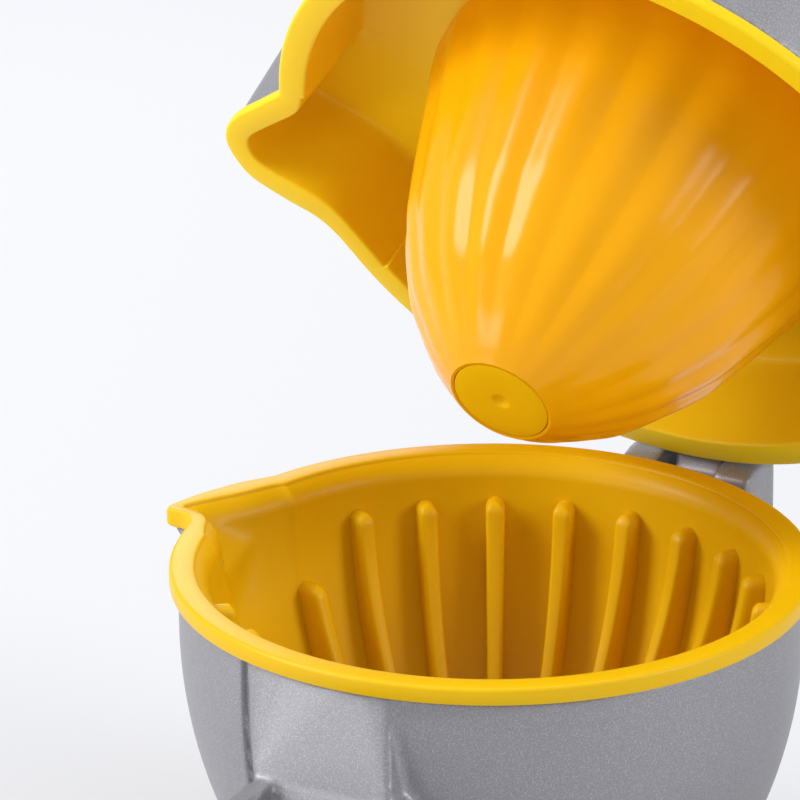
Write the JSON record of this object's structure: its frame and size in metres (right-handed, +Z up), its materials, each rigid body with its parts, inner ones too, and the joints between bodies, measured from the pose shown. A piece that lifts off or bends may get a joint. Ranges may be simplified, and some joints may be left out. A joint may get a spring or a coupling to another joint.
{
  "type": "citrus press juicer",
  "caption": "Hinged hand citrus press, open: two cast silver arms with handles, yellow plastic cup liners with side spouts, and an orange fluted press cone.",
  "frame": {"origin": "centre of the lower cup's foot, on the table", "axes": "+X to the hinge pin, -X to the handle ends, +Y to the pouring spouts, +Z up along the lower cup's axis"},
  "size_m": [0.2315, 0.0985, 0.2338],
  "materials": {
    "cast_lower": "silver paint with fine metal flake on a cast aluminium arm",
    "cast_upper": "silver paint with fine metal flake on a cast aluminium arm",
    "cast_caps": "silver paint",
    "liner_lower": "satin moulded yellow plastic",
    "liner_upper": "satin moulded yellow plastic",
    "cone": "glossy moulded orange plastic",
    "plug_plastic": "satin moulded yellow plastic",
    "steel": "turned stainless steel",
    "washer_plastic": "plain nylon",
    "bush": "sintered bronze",
    "seal": "plain rubber"
  },
  "bodies": {
    "lower": {"lower_arm": "cast_lower", "lower_liner": "liner_lower", "lower_liner_screw": "steel", "lower_screw_washer": "steel", "foot_plug": "plug_plastic", "hinge_pin": "steel", "pin_caps": "cast_caps", "hinge_washers": "washer_plastic"},
    "upper": {"upper_arm": "cast_upper", "lug_bush": "bush", "upper_liner": "liner_upper", "press_cone": "cone", "cone_seal": "seal", "cone_screw": "steel", "cone_screw_washer": "steel", "cone_plug": "plug_plastic"}
  },
  "joints": [
    {"name": "press_hinge", "type": "hinge", "parent": "lower", "child": "upper", "pos_m": [0.0524, 0, 0.044], "axis": [0, 1, 0], "range_deg": [-61.6, 28.4]}
  ]
}
